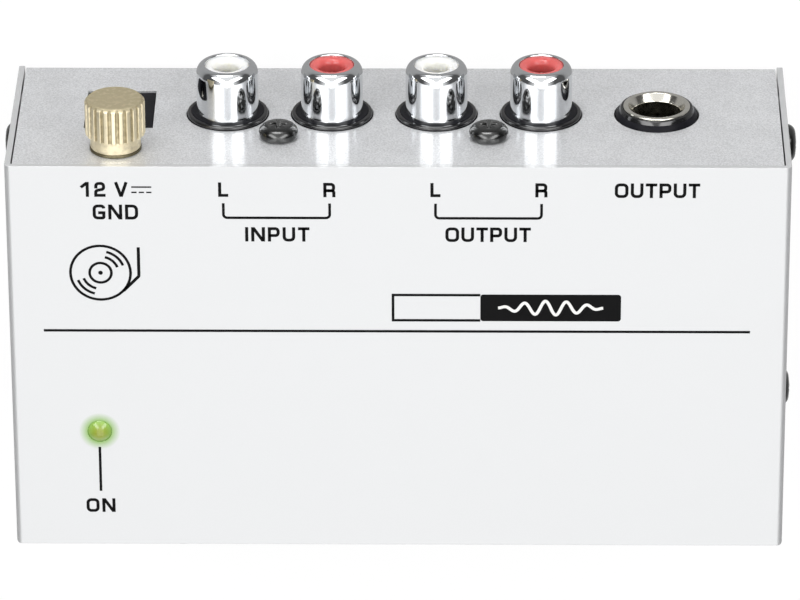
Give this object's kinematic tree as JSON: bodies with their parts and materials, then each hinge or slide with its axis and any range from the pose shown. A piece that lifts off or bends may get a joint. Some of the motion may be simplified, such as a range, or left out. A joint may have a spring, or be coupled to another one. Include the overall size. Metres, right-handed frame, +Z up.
{
  "type": "phono preamp",
  "caption": "Small steel box on rubber feet with two pairs of phono jacks, a stereo jack, a power socket, a knurled ground screw and a power light.",
  "frame": {"origin": "on the surface the feet stand on, under the middle of the object's box, jacks and side screws included", "axes": "+X to the right along the length of the jack panel, +Y towards the jack panel at the back, +Z up through the printed face"},
  "size_m": [0.108, 0.0644, 0.0337],
  "materials": {
    "cover_paint": "near-white silver paint, fine metallic grain, printed in black",
    "panel_paint": "light silver paint, fine metallic grain",
    "black_steel": "black-oxide steel screw, satin",
    "zinc_steel": "zinc-plated steel",
    "foot_rubber": "matt black rubber",
    "board_laminate": "green solder resist over glass-epoxy laminate",
    "black_plastic": "moulded black plastic, semi-matt",
    "chrome_plate": "bright chrome plating",
    "white_plastic": "moulded white plastic",
    "red_plastic": "moulded red plastic",
    "tinned_brass": "tinned brass strip",
    "nickel_plate": "nickel plating",
    "spring_bronze": "phosphor bronze strip",
    "turned_brass": "turned and knurled brass, satin",
    "washer_steel": "plain steel",
    "wire_sheath": "green wire insulation",
    "led_lens": "green diffused epoxy lens, lit",
    "spacer_nylon": "natural nylon",
    "chip_epoxy": "black moulded epoxy",
    "supply_sleeve": "dark blue shrink sleeve",
    "coupling_sleeve": "black shrink sleeve",
    "film_box": "red moulded box",
    "ceramic_coat": "ochre dipped coating",
    "resistor_coat": "beige lacquer",
    "ferrite": "sintered ferrite"
  },
  "bodies": {
    "root": {"base_chassis": "panel_paint", "top_cover": "cover_paint", "cover_screws": "black_steel", "rubber_feet": "foot_rubber", "circuit_board": "board_laminate", "board_standoffs": "zinc_steel", "board_screws": "zinc_steel", "input_jack_housing": "black_plastic", "input_jack_screw": "black_steel", "input_left_sleeve": "chrome_plate", "input_right_sleeve": "chrome_plate", "input_left_insert": "white_plastic", "input_right_insert": "red_plastic", "input_centre_contacts": "tinned_brass", "input_earth_tags": "tinned_brass", "output_jack_housing": "black_plastic", "output_jack_screw": "black_steel", "output_left_sleeve": "chrome_plate", "output_right_sleeve": "chrome_plate", "output_left_insert": "white_plastic", "output_right_insert": "red_plastic", "output_centre_contacts": "tinned_brass", "output_earth_tags": "tinned_brass", "stereo_jack_body": "black_plastic", "stereo_jack_ferrule": "nickel_plate", "stereo_sleeve_tag": "tinned_brass", "stereo_tip_terminal": "tinned_brass", "stereo_ring_terminal": "tinned_brass", "power_socket_body": "black_plastic", "power_centre_pin": "tinned_brass", "power_leaf_terminal": "tinned_brass", "ground_bush": "turned_brass", "ground_nut": "turned_brass", "ground_lug": "tinned_brass", "ground_wire": "wire_sheath", "power_led": "led_lens", "led_leads": "tinned_brass", "led_spacer": "spacer_nylon", "amplifier_chips": "chip_epoxy", "amplifier_pins": "tinned_brass", "supply_capacitors": "supply_sleeve", "coupling_capacitors": "coupling_sleeve", "film_capacitors": "film_box", "ceramic_capacitors": "ceramic_coat", "resistors": "resistor_coat", "diodes": "chip_epoxy", "ferrite_beads": "ferrite", "voltage_regulator": "chip_epoxy"},
    "ground_washer": {"ground_washer": "washer_steel"},
    "ground_screw": {"ground_screw": "turned_brass"},
    "tip_spring": {"stereo_tip_spring": "spring_bronze"},
    "ring_spring": {"stereo_ring_spring": "spring_bronze"},
    "power_leaf": {"power_leaf_spring": "spring_bronze"}
  },
  "joints": [
    {"name": "ground_lift", "type": "slide", "parent": "root", "child": "ground_washer", "axis": [0, 1, 0], "range_m": [0, 0.0021]},
    {"name": "ground_turn", "type": "hinge", "parent": "ground_washer", "child": "ground_screw", "pos_m": [-0.0375, 0.0248, 0.0273], "axis": [0, 1, 0], "range_deg": [0, 1080]},
    {"name": "tip_spring_flex", "type": "hinge", "parent": "root", "child": "tip_spring", "pos_m": [0.0345, 0.0128, 0.0207], "axis": [-1, 0, 0], "range_deg": [0, 2.5], "stiffness_Nm_per_rad": 0.05, "springref_deg": -5.73},
    {"name": "ring_spring_flex", "type": "hinge", "parent": "root", "child": "ring_spring", "pos_m": [0.0304, 0.0128, 0.0166], "axis": [0, 0, -1], "range_deg": [0, 3.5], "stiffness_Nm_per_rad": 0.05, "springref_deg": -5.73},
    {"name": "power_leaf_flex", "type": "hinge", "parent": "root", "child": "power_leaf", "pos_m": [-0.0375, 0.01425, 0.01235], "axis": [-1, 0, 0], "range_deg": [0, 4], "stiffness_Nm_per_rad": 0.02, "springref_deg": -5.73}
  ],
  "couplings": [
    {"joint": "ground_turn", "follows": "ground_lift", "rad_per_m": 8975.9}
  ]
}
